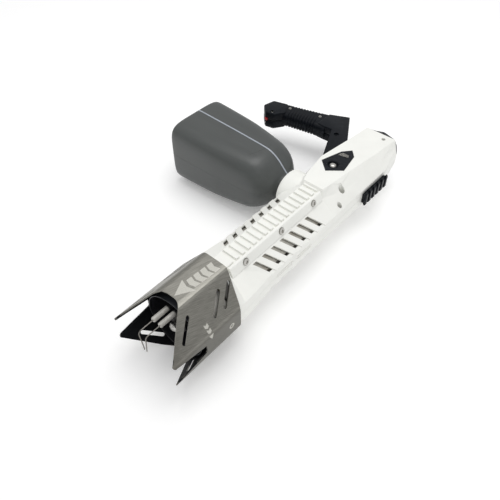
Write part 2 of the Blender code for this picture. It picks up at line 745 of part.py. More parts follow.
TANK_SECTIONS = (            # y, half width, half height, squareness
    (-0.2270, 0.0458, 0.0408, 5.0),
    (-0.2240, 0.0502, 0.0450, 5.5),
    (-0.2160, 0.0520, 0.0468, 6.0),
    (-0.1500, 0.0505, 0.0452, 5.0),
    (-0.1100, 0.0468, 0.0436, 4.0),
    (-0.0910, 0.0450, 0.0424, 3.4),
    (-0.0830, 0.0438, 0.0403, 3.1),
    (-0.0760, 0.0420, 0.0366, 2.9),
    (-0.0700, 0.0388, 0.0322, 2.7),
    (-0.0650, 0.0345, 0.0274, 2.5),
    (-0.0600, 0.0290, 0.0222, 2.3),
    (-0.0565, 0.0230, 0.0190, 2.1),
    (-0.0530, 0.0185, 0.0175, 2.0),
    (-0.0503, NECK_R, NECK_R, 2.0),
)


def tank_ring(y, half_w, half_h, power):
    return [(TANK_X + x, y, z) for x, z in rounded_box(half_w, half_h, power, TANK_RING)]


def tank():
    """Hollow moulded vessel, open only at its neck."""
    rings = [tank_ring(*section) for section in TANK_SECTIONS]
    bore = NECK_R - TANK_WALL
    rings.append(tank_ring(NECK_END_Y, NECK_R, NECK_R, 2.0))
    rings.append(tank_ring(NECK_END_Y, bore, bore, 2.0))
    rings.append(tank_ring(-0.0520, bore, bore, 2.0))
    for y, half_w, half_h, power in TANK_SECTIONS[-4:0:-2]:
        rings.append(tank_ring(y, half_w - TANK_WALL, half_h - TANK_WALL, power))
    bm = bmesh.new()
    loft_into(bm, rings)
    part = add_mesh("tank", bm, GREY)
    part.data.set_sharp_from_angle(angle=math.radians(50))


def level_strip():
    """Pale sight strip laid along the top of the tank."""
    half, thick = 0.0011, 0.0006
    x = TANK_X - 0.0050
    rings = []
    for y, half_w, half_h, power in TANK_SECTIONS[1:-2]:
        share = abs(x - TANK_X) / half_w
        z = half_h * (1 - share ** power) ** (1 / power) + GAP
        rings.append([(x - half, y, z), (x + half, y, z), (x + half, y, z + thick),
                      (x - half, y, z + thick)])
    bm = bmesh.new()
    loft_into(bm, rings)
    add_mesh("level_strip", bm, STRIP)


def tank_mount():
    """White boss of the body with the socket that the tank's neck sits in."""
    rings = []
    for y, grow in ((MOUNT_BACK_Y, 0.0), (-0.0455, 0.0), (-0.0488, -0.0012), (MOUNT_FACE_Y, -0.0036)):
        rings.append([(x, y, z) for x, z in mount_outline(grow)])
    bm = bmesh.new()
    loft_into(bm, rings)
    mount = add_mesh("tank_mount", bm, WHITE)
    cut(mount, rod("neck_socket", (TANK_X, -0.0300, 0), (TANK_X, -0.0600, 0), NECK_R + 0.0006, None, 40))


# ---- handle ---------------------------------------------------------------

GRIP_DIR = (GRIP_END - GRIP_START).normalized()
GRIP_ACROSS = Vector((-GRIP_DIR.y, GRIP_DIR.x, 0.0))


def grip_place(distance, across):
    return GRIP_START + GRIP_DIR * distance + GRIP_ACROSS * across


def grip_ring(up, distance, sink=0.0):
    """Half a ring of the grip, flat at the parting plane; sink is a groove's depth in its front."""
    half_w = GRIP_HALF_WIDTH - GRIP_TAPER * distance
    half_h = GRIP_HALF_HEIGHT
    ring = []
    steps = 10
    for i in range(steps + 1):
        turn = math.pi * i / steps
        c, s = math.cos(turn), math.sin(turn)
        lost = sink if i < steps / 2 else 0.0
        power = FRONT_POWER if i < steps / 2 else REAR_POWER
        across = GRIP_SHIFT + (half_w - lost) * math.copysign(abs(c) ** (2 / power), c)
        height = max((half_h - lost) * abs(s) ** (2 / power), PARTING)
        if i in (0, steps):
            height = PARTING
        place = grip_place(distance, across)
        ring.append((place.x, place.y, up * height))
    return ring


def grip_rings(up):
    """A smooth start, ten grooves in the front, and a smooth end inside the end block."""
    rings = [(-0.0060, 0.0), (0.0080, 0.0)]
    for i in range(GRIP_GROOVES):
        for share, sink in ((0.0, 0.0), (0.22, 0.0010), (0.50, 0.0010), (0.72, 0.0)):
            rings.append((GROOVE_START + (i + share) * GROOVE_STEP, sink))
    rings.append((0.0800, 0.0))
    return [grip_ring(up, *ring) for ring in rings]


def chamfered_half(outline, half_height, up):
    """Half a flat block, from the parting plane to a chamfered face."""
    inner = grown(outline, -ARM_CHAMFER)
    levels = ((PARTING, outline), (half_height - ARM_CHAMFER, outline), (half_height, inner))
    bm = bmesh.new()
    loft_into(bm, [[(x, y, up * z) for x, y in ring] for z, ring in levels])
    return bm


RED_BUTTON_LOW = (-0.2160, -0.1792, -0.0012)
RED_BUTTON_HIGH = (-0.2087, -0.1742, 0.0032)
RED_BUTTON_TRAVEL = 0.0012


def handle_half(up):
    """Arm, grooved grip and end block of one half, moulded in one piece."""
    side = "upper" if up > 0 else "lower"
    handle = add_mesh("handle_" + side, chamfered_half(ARM, ARM_HALF_HEIGHT, up), BLACK)
    cut(handle, add_mesh("block_" + side, chamfered_half(BLOCK, BLOCK_HALF_HEIGHT, up)), "UNION")
    bm = bmesh.new()
    loft_into(bm, grip_rings(up))
    cut(handle, add_mesh("grip_" + side, bm), "UNION")

    bm = bmesh.new()
    for x, y in HANDLE_SCREWS:
        if up > 0:
            rod_into(bm, (x, y, HANDLE_SEAT), (x, y, 0.0400), 0.0030, 20)
            rod_into(bm, (x, y, -0.0010), (x, y, HANDLE_SEAT + 0.0010), SCREW_HOLE_R, 12)
        else:
            rod_into(bm, (x, y, -0.0090), (x, y, 0.0010), SCREW_HOLE_R, 12)
    rod_into(bm, (*ARM_BOLT, up * 0.0080), (*ARM_BOLT, up * 0.0300), 0.0038, 20)
    pocket_x = RED_BUTTON_LOW[0] - RED_BUTTON_TRAVEL - 2 * GAP
    box_into(bm, (pocket_x, RED_BUTTON_LOW[1] - GAP, RED_BUTTON_LOW[2] - GAP),
             (RED_BUTTON_HIGH[0] + 0.0100, RED_BUTTON_HIGH[1] + GAP, RED_BUTTON_HIGH[2] + GAP))
    cut(handle, add_mesh("handle_holes_" + side, bm))


def red_button():
    """Small red push button in the muzzle side of the end block."""
    bm = bmesh.new()
    box_into(bm, RED_BUTTON_LOW, RED_BUTTON_HIGH)
    pivot = [(low + high) / 2 for low, high in zip(RED_BUTTON_LOW, RED_BUTTON_HIGH)]
    add_mesh("red_button", bm, RED, pivot)


# ---- other pieces ---------------------------------------------------------


def accessory_rail():
    """Short toothed rail on the +Y side of the rear housing."""
    foot, top, half = SIDE_Y + GAP, ACC_RAIL_TOP_Y, ACC_RAIL_HALF
    section = ((foot, -0.0076), (foot + 0.0026, -0.0076), (foot + 0.0042, -half),
               (top - 0.0012, -half), (top, -half + 0.0020), (top, half - 0.0020),
               (top - 0.0012, half), (foot + 0.0042, half), (foot + 0.0026, 0.0076), (foot, 0.0076))
    rail = slab("accessory_rail", section, ACC_RAIL_REAR_X, ACC_RAIL_REAR_X + ACC_RAIL_LENGTH, "X", BLACK)
    bm = bmesh.new()
    for i in range(ACC_RAIL_SLOTS):
        middle = ACC_RAIL_REAR_X + ACC_RAIL_LENGTH / 2 + (i - (ACC_RAIL_SLOTS - 1) / 2) * RAIL_PITCH
        box_into(bm, (middle - GROOVE_WIDTH / 2, top - GROOVE_DEPTH, -0.0200),
                 (middle + GROOVE_WIDTH / 2, top + 0.0100, 0.0200))
    cut(rail, add_mesh("accessory_rail_grooves", bm))


def rear_cap():
    """Black end cap, crowned and narrower at the rear."""
    ends = (
        (HOUSING_REAR_X - GAP, ((0.0303, 0.0078), (0.0266, 0.0188), (0.0228, 0.0299), (0.0, 0.0299))),
        (HOUSING_REAR_X - 0.0040, ((0.0292, 0.0074), (0.0258, 0.0176), (0.0218, 0.0272), (0.0, 0.0297))),
        (CAP_REAR_X, ((0.0262, 0.0064), (0.0240, 0.0148), (0.0192, 0.0226), (0.0, 0.0278))))
    rings = []
    for x, quarter in ends:
        upper = [*quarter, *[(-y, z) for y, z in quarter[-2::-1]]]
        rings.append([(x, y, z) for y, z in upper + [(y, -z) for y, z in upper[::-1]]])
    bm = bmesh.new()
    loft_into(bm, rings)
    add_mesh("rear_cap", bm, BLACK)


def barrel_liner():
    """Folded heat shield that shows through the vents."""
    quarter = ((LINER_SIDE_Y, LINER_SIDE_Z), (LINER_TOP_Y, LINER_TOP_Z))
    upper = [*quarter, *[(-y, z) for y, z in quarter[::-1]]]
    outline = upper + [(y, -z) for y, z in upper[::-1]]
    bm = bmesh.new()
    loft_into(bm, [[(x, y, z) for y, z in outline] for x in (0.0800, -0.0700)], caps=False)
    bm.normal_update()
    if sum(face.normal.dot(Vector((0, *face.calc_center_median().yz))) for face in bm.faces) < 0:
        bmesh.ops.reverse_faces(bm, faces=bm.faces)
    liner = add_mesh("barrel_liner", bm, LINER)
    sheet = liner.modifiers.new("sheet", "SOLIDIFY")
    sheet.thickness = LINER_SHEET
    sheet.offset = -1.0
    sheet.use_even_offset = True


def electrode_route(side):
    """Out of the insulator, round a bend, and down towards the middle."""
    start_x = INSULATOR_REAR_X + 0.0010
    points = [(start_x, side * ELECTRODE_Y, ELECTRODE_Z), (ELECTRODE_BEND_X, side * ELECTRODE_Y, ELECTRODE_Z)]
    bend, steps = 0.0040, 5
    for i in range(1, steps + 1):
        turn = math.radians(90 * i / steps)
        points.append((ELECTRODE_BEND_X + bend * math.sin(turn), side * ELECTRODE_Y,
                       ELECTRODE_Z - bend * (1 - math.cos(turn))))
    points.append((ELECTRODE_BEND_X + bend, side * 0.0018, 0.0015))
    return points


def nozzle_group():
    """Nozzle and igniter, all plain solids."""
    bm = bmesh.new()
    rings = []
    for x, reach in ((0.1090, 0.0350), (0.1170, 0.0350), (0.1200, 0.0320)):
        rings.append([(x, y, z) for y, z in rounded_box(reach, reach, 3.0, 32)])
    loft_into(bm, rings)
    add_mesh("nozzle_bulkhead", bm, BLACK)
    low, high = FLAME_TUBE_R - FLAME_TUBE_WALL, FLAME_TUBE_R
    length = FLAME_TUBE_X[1] - FLAME_TUBE_X[0]
    sleeve = [(low, length), (high, length), (high, 0.0), (low, 0.0), (low, length)]
    turned("flame_tube", sleeve, (FLAME_TUBE_X[0], 0, 0), (1, 0, 0), STEEL, 72)
    barrel = [(0.0, 0.0330), (0.0105, 0.0330), (0.0120, 0.0315), (0.0120, 0.0210),
              (0.0140, 0.0200), (0.0140, 0.0), (0.0, 0.0)]
    turned("nozzle_barrel", barrel, (0.1203, 0, 0), (1, 0, 0), BLACK)
    tip = [(0.0, 0.0080), (0.0036, 0.0080), (0.0058, 0.0064), (0.0058, 0.0), (0.0, 0.0)]
    turned("nozzle_tip", tip, (0.1536, 0, 0), (1, 0, 0), BRIGHT)

    plate = ((-0.0110, 0.0144), (0.0110, 0.0144), (0.0110, 0.0345), (0.0080, 0.0365),
             (-0.0080, 0.0365), (-0.0110, 0.0345))
    bracket = slab("electrode_bracket", plate, 0.1300, 0.1325, "X", BRIGHT)
    bm = bmesh.new()
    for side, name in ((-1, "far"), (1, "near")):
        y = side * ELECTRODE_Y
        rod_into(bm, (0.1250, y, ELECTRODE_Z), (0.1400, y, ELECTRODE_Z), INSULATOR_R + GAP, 24)
        wall = 0.0010
        body = [(wall, INSULATOR_LENGTH), (INSULATOR_R * 0.8, INSULATOR_LENGTH),
                (INSULATOR_R, INSULATOR_LENGTH - 0.0012), (INSULATOR_R, 0.0), (wall, 0.0),
                (wall, INSULATOR_LENGTH)]
        start = (INSULATOR_REAR_X - 0.0050, y, ELECTRODE_Z)
        turned("insulator_" + name, body, start, (1, 0, 0), CERAMIC, 24)
        tube("electrode_" + name, electrode_route(side), 0.00065, BRIGHT)
    cut(bracket, add_mesh("bracket_holes", bm))


def internals():
    """Plain blocks for what the body must hold."""
    box("battery_pack", (-0.2360, -0.0150, -0.0170), (-0.1700, 0.0200, 0.0170), BATTERY)
    box("control_board", (-0.1640, -0.0140, 0.0150), (-0.1270, 0.0140, 0.0166), BOARD)
    rod("motor_can", (-0.1560, 0.0, -0.0040), (-0.1190, 0.0, -0.0040), 0.0120, BRIGHT, 28)
    box("pump_block", (-0.1110, -0.0130, -0.0160), (-0.0900, 0.0130, 0.0080), BRASS)
    rod("feed_pipe", (-0.0897, 0.0, 0.0), (0.1087, 0.0, 0.0), 0.0040, BRASS, 20)


def fasteners():
    """Hex-socket screws of the rails, the shells and the handle."""
    spots = [(place + out * GAP, out) for up in (1, -1) for place, out in band_screws(up)]
    socket_screws("rail_screw", spots, 0.0043, 0.0018, 0.0014, 0.0085)
    up = Vector((0, 0, 1))
    spots = [(Vector((x, y, WELL_FLOOR + GAP)), up) for x, y, _ in WELLS]
    socket_screws("shell_screw", spots, 0.0026, 0.0024, 0.0014, 0.0180)
    spots = [(Vector((x, y, HANDLE_SEAT + GAP)), up) for x, y in HANDLE_SCREWS]
    socket_screws("handle_screw", spots, 0.0026, 0.0026, 0.0014, 0.0150)
    socket_screws("arm_bolt", [(Vector((*ARM_BOLT, 0.0080 + GAP)), up)], 0.0034, 0.0022, 0.0020, 0.0002, BLACK)


def main():
    body_shell(1)
    body_shell(-1)
    side_rail(1)
    side_rail(-1)
    control_panel()
    muzzle_shroud()
    tank()
    level_strip()
    tank_mount()
    handle_half(1)
    handle_half(-1)
    red_button()
    accessory_rail()
    rear_cap()
    barrel_liner()
    nozzle_group()
    internals()
    fasteners()
    FRAME.location = (-BOX_MIDDLE[0], -BOX_MIDDLE[1], SHROUD_TOP_Z)


main()
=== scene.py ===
"""Looks of a hand-held farm torch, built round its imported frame.

Sizes are metres. device(x, y, z) gives a place in the torch's own frame:
x = 0 at the middle of the side rails, +X to the muzzle, z = 0 in the middle plane.
"""
import json
import math

import bmesh
import bpy
import numpy as np
from mathutils import Matrix, Vector


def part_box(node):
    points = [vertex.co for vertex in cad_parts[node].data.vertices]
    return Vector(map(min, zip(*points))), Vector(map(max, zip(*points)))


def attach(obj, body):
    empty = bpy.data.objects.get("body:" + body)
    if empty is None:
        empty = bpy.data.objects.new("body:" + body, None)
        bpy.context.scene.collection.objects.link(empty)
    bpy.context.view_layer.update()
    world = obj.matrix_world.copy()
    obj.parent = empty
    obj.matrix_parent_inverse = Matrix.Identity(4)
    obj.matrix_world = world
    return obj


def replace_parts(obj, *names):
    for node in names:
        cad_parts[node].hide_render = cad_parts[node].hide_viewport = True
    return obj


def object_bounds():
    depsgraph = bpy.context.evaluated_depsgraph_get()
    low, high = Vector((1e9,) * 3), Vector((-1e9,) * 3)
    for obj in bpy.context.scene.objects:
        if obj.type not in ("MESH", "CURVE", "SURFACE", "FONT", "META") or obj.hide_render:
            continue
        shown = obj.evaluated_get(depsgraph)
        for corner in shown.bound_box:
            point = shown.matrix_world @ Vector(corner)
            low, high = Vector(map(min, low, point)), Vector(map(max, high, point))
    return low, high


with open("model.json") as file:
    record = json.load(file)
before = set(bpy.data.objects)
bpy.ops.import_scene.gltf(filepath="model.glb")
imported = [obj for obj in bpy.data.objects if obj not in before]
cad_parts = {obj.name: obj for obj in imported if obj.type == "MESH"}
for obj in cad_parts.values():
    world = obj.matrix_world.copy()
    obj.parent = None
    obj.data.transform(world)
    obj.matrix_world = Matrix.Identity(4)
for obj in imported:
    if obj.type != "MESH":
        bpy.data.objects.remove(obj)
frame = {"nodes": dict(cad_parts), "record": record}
CAD_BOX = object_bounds()

BODIES = frame["record"]["behaviour"]["bodies"]
BODY_OF = {node: body for body, nodes in BODIES.items() for node in nodes}
SLOT_OF = {part["node"]: part["material_slot"] for part in frame["record"]["subparts"]}

RAIL_FRONT_X = 0.0835
_, rail_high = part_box("side_rail_upper")
shroud_low, shroud_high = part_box("muzzle_shroud")
ORIGIN = Vector((rail_high[0] - RAIL_FRONT_X,
                 (shroud_low[1] + shroud_high[1]) / 2,
                 (shroud_low[2] + shroud_high[2]) / 2))


def device(x, y, z):
    return ORIGIN + Vector((x, y, z))


# ---- materials ------------------------------------------------------------

SHROUD_TOP_Z = 0.0523
SHROUD_FACE_LEAN = 0.466            # extra path down a slanted face, per metre of height
BRUSH_COS, BRUSH_SIN = 0.953, 0.304     # brushing's slant, about 18 degrees off the torch's length
STEEL_DARK, STEEL_LIGHT, STEEL_CLOUD = (0.180, 0.175, 0.156), (0.345, 0.338, 0.305), (0.240, 0.233, 0.209)
MARK_COLOUR = (0.56, 0.55, 0.50)
INNER_BLACK = (0.014, 0.015, 0.018)
# Painted shade on the white body where the shroud covers it: where it starts, and its grey.
PAINTED_SHADE_EDGE_X, PAINTED_SHADE_EDGE_SLOPE = 0.0925, 0.332
PAINTED_SHADE_GREY = (0.075, 0.073, 0.066)

ARROW_START_X, ARROW_Y, ARROW_LEAN = 0.0965, 0.0062, -0.065
ARROW_TIP_X, ARROW_HEAD_X, ARROW_SPREAD = 0.1530, 0.1362, 0.52
BAR_START_X, BAR_STEP, BAR_SHARE, BAR_HALF, BAR_SWEEP = 0.0975, 0.0094, 0.74, 0.0068, 0.30
SIDE_ARROW_X, SIDE_ARROW_TOP_Z = 0.1462, 0.0262
SIDE_BAR_STEP, SIDE_BAR_SHARE, SIDE_BAR_HALF = 0.0048, 0.68, 0.0026
SIDE_HEAD_FALL, SIDE_TIP_FALL, SIDE_SPREAD = 0.0100, 0.0160, 0.55
RING_X, RING_INNER, RING_OUTER, RING_DOT = 0.1160, 0.0020, 0.0038, 0.0008


def with_alpha(colour):
    """A colour as a socket takes it; another node's output passes as it is."""
    return colour if isinstance(colour, bpy.types.NodeSocket) else (*colour, 1.0)


class Tree:
    """A material's nodes, with short calls for the ones used here."""

    def __init__(self, name):
        self.material = bpy.data.materials.new(name)
        self.material.use_nodes = True
        self.nodes = self.material.node_tree.nodes
        self.links = self.material.node_tree.links
        self.shader = self.nodes["Principled BSDF"]
        self.place = self.add("ShaderNodeTexCoord").outputs["Object"]

    def add(self, kind, inputs=None, **settings):
        node = self.nodes.new(kind)
        for key, value in settings.items():
            setattr(node, key, value)
        for key, value in (inputs or {}).items():
            self.put(node.inputs[key], value)
        return node

    def put(self, socket, value):
        if isinstance(value, bpy.types.NodeSocket):
            self.links.new(value, socket)
        else:
            socket.default_value = value

    def math(self, operation, a, b=0.0, c=0.0):
        node = self.add("ShaderNodeMath", operation=operation)
        for socket, value in zip(node.inputs, (a, b, c)):
            self.put(socket, value)
        return node.outputs[0]

    def axes(self):
        """The three coordinates in the torch's own frame."""
        parts = self.add("ShaderNodeSeparateXYZ", {"Vector": self.place})
        return [self.math("SUBTRACT", parts.outputs[i], ORIGIN[i]) for i in range(3)]

    def scaled(self, x, y, z):
        node = self.add("ShaderNodeMapping", {"Vector": self.place})
        node.inputs["Scale"].default_value = (x, y, z)
        return node.outputs[0]

    def noise(self, scale, detail=3.0, rough=0.5, vector=None, distortion=0.0):
        node = self.add("ShaderNodeTexNoise", {"Vector": vector or self.place, "Scale": scale, "Detail": detail,
                                               "Roughness": rough, "Distortion": distortion})
        return node.outputs["Fac"]

    def cells(self, scale, feature="F1"):
        node = self.add("ShaderNodeTexVoronoi", {"Vector": self.place, "Scale": scale}, feature=feature)
        return node.outputs["Distance"]

    def ramp(self, value, low, high, a=0.0, b=1.0):
        node = self.add("ShaderNodeMapRange",
                        {"Value": value, "From Min": low, "From Max": high, "To Min": a, "To Max": b})
        return node.outputs["Result"]

    def mix(self, share, a, b):
        node = self.add("ShaderNodeMix", data_type="RGBA")
        self.put(node.inputs["Factor"], share)
        self.put(node.inputs[6], with_alpha(a))
        self.put(node.inputs[7], with_alpha(b))
        return node.outputs[2]

    def within(self, value, low, high):
        """1 where the value lies between low and high, else 0."""
        return self.math("MULTIPLY", self.math("GREATER_THAN", value, low), self.math("LESS_THAN", value, high))

    def inner_side(self, y, z):
        """1 on faces that look towards the torch's long axis, else 0."""
        outward = self.add("ShaderNodeVectorMath", operation="DOT_PRODUCT")
        self.put(outward.inputs[0], self.add("ShaderNodeNewGeometry").outputs["Normal"])
        self.put(outward.inputs[1], self.add("ShaderNodeCombineXYZ", {"X": 0.0, "Y": y, "Z": z}).outputs[0])
        return self.math("LESS_THAN", outward.outputs["Value"], -0.005)

    def bump(self, height, distance, strength=1.0):
        node = self.add("ShaderNodeBump", {"Height": height, "Distance": distance, "Strength": strength})
        return node.outputs["Normal"]

    def edge_wear(self, low=0.52, high=0.60):
        return self.ramp(self.add("ShaderNodeNewGeometry").outputs["Pointiness"], low, high)

    def finish(self, colour, roughness, metallic=0.0, normal=None, **more):
        self.put(self.shader.inputs["Base Color"], with_alpha(colour))
        self.put(self.shader.inputs["Roughness"], roughness)
        self.put(self.shader.inputs["Metallic"], metallic)
        if normal is not None:
            self.put(self.shader.inputs["Normal"], normal)
        for key, value in more.items():
            self.put(self.shader.inputs[key.replace("_", " ")], value)
        return self.material


def moulded(name, dark, light, rough, grain, depth, worn=None, specular=0.5, painted_shade=False):
    """Injection-moulded plastic: fine spark-eroded texture, faint cloudiness, rubbed edges.

    With this option set, the stretch that the shroud covers is greyed as painted shade, for the dark under the
    shroud that shows through its slots."""
    t = Tree(name)
    cloud = t.noise(26.0, 4.0, 0.6)
    speck = t.noise(grain, 2.0, 0.6)
    colour = t.mix(t.ramp(cloud, 0.35, 0.65), dark, light)
    if worn is not None:
        colour = t.mix(t.math("MULTIPLY", t.edge_wear(), t.ramp(t.noise(300.0), 0.35, 0.6)), colour, worn)
    # Painted shade: grey over the stretch of body under the shroud.
    if painted_shade:
        x, _, z = t.axes()
        below = t.math("SUBTRACT", SHROUD_TOP_Z, t.math("ABSOLUTE", z))
        edge = t.math("ADD", PAINTED_SHADE_EDGE_X, t.math("MULTIPLY", below, PAINTED_SHADE_EDGE_SLOPE))
        colour = t.mix(t.math("GREATER_THAN", x, edge), colour, PAINTED_SHADE_GREY)
    pits = t.math("ADD", speck, t.math("MULTIPLY", t.cells(grain * 0.7), 0.5))
    roughness = t.ramp(t.noise(140.0, 3.0), 0.3, 0.7, rough[0], rough[1])
    return t.finish(colour, roughness, 0.0, t.bump(pits, depth), Specular_IOR_Level=specular)


def turned_steel(name, colour, rough=0.24):
    """Bright turned or cold-headed steel with fine scratches."""
    t = Tree(name)
    scratch = t.noise(3200.0, 2.0, 0.7, vector=t.scaled(1.0, 0.12, 0.5))
    patch = t.noise(420.0, 3.0)
    dull = tuple(c * 0.72 for c in colour)
    roughness = t.ramp(scratch, 0.3, 0.7, rough, rough + 0.18)
    return t.finish(t.mix(t.ramp(patch, 0.35, 0.7), colour, dull), roughness, 1.0,
                    t.bump(scratch, 0.00001, 0.5))


def top_arrow(t, x, y, z):
    """Bars and an arrow head along the shroud's flat top."""
    lean = t.math("MULTIPLY", t.math("SUBTRACT", x, ARROW_START_X), ARROW_LEAN)
    across = t.math("ABSOLUTE", t.math("SUBTRACT", y, t.math("ADD", ARROW_Y, lean)))
    swept = t.math("ADD", x, t.math("MULTIPLY", across, BAR_SWEEP))
    bar = t.math("DIVIDE", t.math("SUBTRACT", swept, BAR_START_X), BAR_STEP)
    bars = t.math("MULTIPLY", t.math("LESS_THAN", t.math("FRACT", bar), BAR_SHARE), t.within(bar, 0.0, 4.0))
    bars = t.math("MULTIPLY", bars, t.math("LESS_THAN", across, BAR_HALF))
    reach = t.math("MULTIPLY", t.math("SUBTRACT", ARROW_TIP_X, x), ARROW_SPREAD)
    head = t.math("MULTIPLY", t.math("LESS_THAN", across, reach), t.math("GREATER_THAN", swept, ARROW_HEAD_X))
    on_top = t.math("GREATER_THAN", z, SHROUD_TOP_Z - 0.0006)
    return t.math("MULTIPLY", on_top, t.math("MAXIMUM", bars, head))


def side_marks(t, x, y, z):
    """A small arrow down across the near fold, and a ring on the near side face."""
    near = t.math("MULTIPLY", t.math("GREATER_THAN", y, 0.0370), t.math("GREATER_THAN", z, -0.0150))
    aside = t.math("ABSOLUTE", t.math("SUBTRACT", x, SIDE_ARROW_X))
    fall = t.math("SUBTRACT", SIDE_ARROW_TOP_Z, z)
    bar = t.math("DIVIDE", t.math("ADD", fall, t.math("MULTIPLY", aside, 0.5)), SIDE_BAR_STEP)
    painted = t.math("LESS_THAN", t.math("FRACT", bar), SIDE_BAR_SHARE)
    bars = t.math("MULTIPLY", painted, t.within(bar, 0.0, 2.0))
    bars = t.math("MULTIPLY", bars, t.math("LESS_THAN", aside, SIDE_BAR_HALF))
    reach = t.math("MULTIPLY", t.math("SUBTRACT", SIDE_TIP_FALL, fall), SIDE_SPREAD)
    head = t.math("MULTIPLY", t.math("LESS_THAN", aside, reach), t.math("GREATER_THAN", fall, SIDE_HEAD_FALL))
    from_ring = t.math("POWER", t.math("SUBTRACT", x, RING_X), 2.0)
    radius = t.math("SQRT", t.math("ADD", from_ring, t.math("POWER", z, 2.0)))
    ring = t.math("MAXIMUM", t.within(radius, RING_INNER, RING_OUTER), t.math("LESS_THAN", radius, RING_DOT))
    return t.math("MULTIPLY", near, t.math("MAXIMUM", t.math("MAXIMUM", bars, head), ring))


def brushed_shroud():
    """Sheet brushed a little off its length, etched with plain arrows and a ring, black inside."""
    t = Tree("brushed_steel_sheet")
    x, y, z = t.axes()
    height = t.math("ABSOLUTE", z)
    down = t.math("MULTIPLY", t.math("SUBTRACT", SHROUD_TOP_Z, height), SHROUD_FACE_LEAN)
    unfolded = t.math("ADD", y, t.math("MULTIPLY", down, t.math("SIGN", y)))
    c, s = BRUSH_COS, BRUSH_SIN
    along = t.math("SUBTRACT", t.math("MULTIPLY", x, c), t.math("MULTIPLY", unfolded, s))
    over = t.math("ADD", t.math("MULTIPLY", x, s), t.math("MULTIPLY", unfolded, c))
    line = t.add("ShaderNodeCombineXYZ", {"X": over, "Y": t.math("MULTIPLY", along, 0.035),
                                          "Z": t.math("MULTIPLY", z, 0.01)}).outputs[0]
    fine = t.noise(3000.0, 3.0, 0.65, vector=line)
    broad = t.noise(900.0, 4.0, 0.65, vector=line)
    cloud = t.noise(30.0, 4.0, 0.6)
    streak = t.math("ADD", t.math("MULTIPLY", fine, 0.65), t.math("MULTIPLY", broad, 0.35))
    grey = t.mix(t.ramp(streak, 0.36, 0.64), STEEL_DARK, STEEL_LIGHT)
    grey = t.mix(t.ramp(cloud, 0.3, 0.75, 0.0, 0.35), grey, STEEL_CLOUD)
    side_shade = t.ramp(height, 0.0150, 0.0180, 0.55, 0.0)
    grey = t.mix(side_shade, grey, (0.070, 0.068, 0.060))
    heat_shade = t.math("MULTIPLY", t.ramp(x, 0.165, 0.200, 0.0, 0.5), t.ramp(cloud, 0.3, 0.6))
    grey = t.mix(heat_shade, grey, (0.070, 0.062, 0.052))

    mark = t.math("MAXIMUM", top_arrow(t, x, y, z), side_marks(t, x, y, z))
    rubbed = t.ramp(t.noise(900.0, 3.0), 0.30, 0.55, 0.72, 1.0)
    colour = t.mix(t.math("MULTIPLY", mark, rubbed), grey, MARK_COLOUR)
    inner = t.inner_side(y, z)
    colour = t.mix(t.math("MULTIPLY", inner, 0.97), colour, INNER_BLACK)
    dull = t.math("MULTIPLY", t.math("MAXIMUM", mark, inner), 0.16)
    roughness = t.math("ADD", t.ramp(fine, 0.3, 0.7, 0.32, 0.50), dull)
    metal = t.math("SUBTRACT", 1.0, t.math("MULTIPLY", mark, 0.75))
    return t.finish(colour, roughness, metal, t.bump(fine, 0.000012, 0.6))


def folded_liner():
    """Dull pressed sheet with a rolling direction and a few warm heat stains."""
    t = Tree("liner_sheet")
    streak = t.noise(700.0, 4.0, 0.65, vector=t.scaled(0.05, 1.0, 1.0))
    stain = t.noise(45.0, 4.0, 0.6)
    colour = t.mix(t.ramp(streak, 0.35, 0.65), (0.46, 0.445, 0.405), (0.62, 0.60, 0.55))
    colour = t.mix(t.ramp(stain, 0.52, 0.72, 0.0, 0.5), colour, (0.24, 0.19, 0.13))
    return t.finish(colour, t.ramp(streak, 0.3, 0.7, 0.36, 0.56), 0.85, t.bump(streak, 0.00002, 0.6))


def tank_plastic():
    """Blow-moulded grey polyethylene: orange peel, faint flow lines, scuffs on the corners."""
    t = Tree("grey_blow_moulded")
    flow = t.noise(60.0, 5.0, 0.6, vector=t.scaled(1.0, 0.15, 1.0), distortion=0.6)
    peel = t.noise(520.0, 3.0, 0.55)
    fine = t.noise(2200.0, 2.0)
    colour = t.mix(t.ramp(flow, 0.35, 0.65), (0.055, 0.060, 0.0585), (0.064, 0.070, 0.068))
    scuff = t.math("MULTIPLY", t.edge_wear(0.505, 0.56), t.ramp(t.noise(220.0, 4.0, 0.7), 0.5, 0.62))
    colour = t.mix(t.math("MULTIPLY", scuff, 0.4), colour, (0.10, 0.108, 0.105))
    height = t.math("ADD", t.math("MULTIPLY", peel, 1.0), t.math("MULTIPLY", fine, 0.25))
    return t.finish(colour, t.ramp(flow, 0.3, 0.7, 0.34, 0.44), 0.0, t.bump(height, 0.00006, 0.7),
                    Specular_IOR_Level=0.55)


def glazed(name, colour, tint, rough=0.22):
    t = Tree(name)
    cloud = t.noise(240.0, 4.0)
    roughness = t.ramp(t.noise(900.0), 0.3, 0.7, rough, rough + 0.15)
    return t.finish(t.mix(t.ramp(cloud, 0.35, 0.7), colour, tint), roughness, 0.0,
                    t.bump(t.noise(1500.0, 2.0), 0.00001, 0.5), Coat_Weight=0.25)


def board_face():
    """Solder mask with pale traces on a grid."""
    t = Tree("solder_mask")
    cells = t.cells(420.0, "DISTANCE_TO_EDGE")
    trace = t.math("LESS_THAN", cells, 0.06)
    colour = t.mix(trace, (0.020, 0.115, 0.050), (0.16, 0.30, 0.16))
    return t.finish(colour, t.ramp(t.noise(500.0), 0.3, 0.7, 0.3, 0.5), 0.0, t.bump(trace, 0.00003, 0.6))


def badge_face():
    """Grey foil with a plain dark grain."""
    t = Tree("badge_foil")
    blot = t.ramp(t.noise(950.0, 4.0, 0.7), 0.46, 0.54)
    colour = t.mix(blot, (0.36, 0.35, 0.32), (0.055, 0.055, 0.052))
    return t.finish(colour, t.ramp(t.noise(2400.0), 0.3, 0.7, 0.35, 0.5), 0.6, t.bump(blot, 0.00002, 0.4))


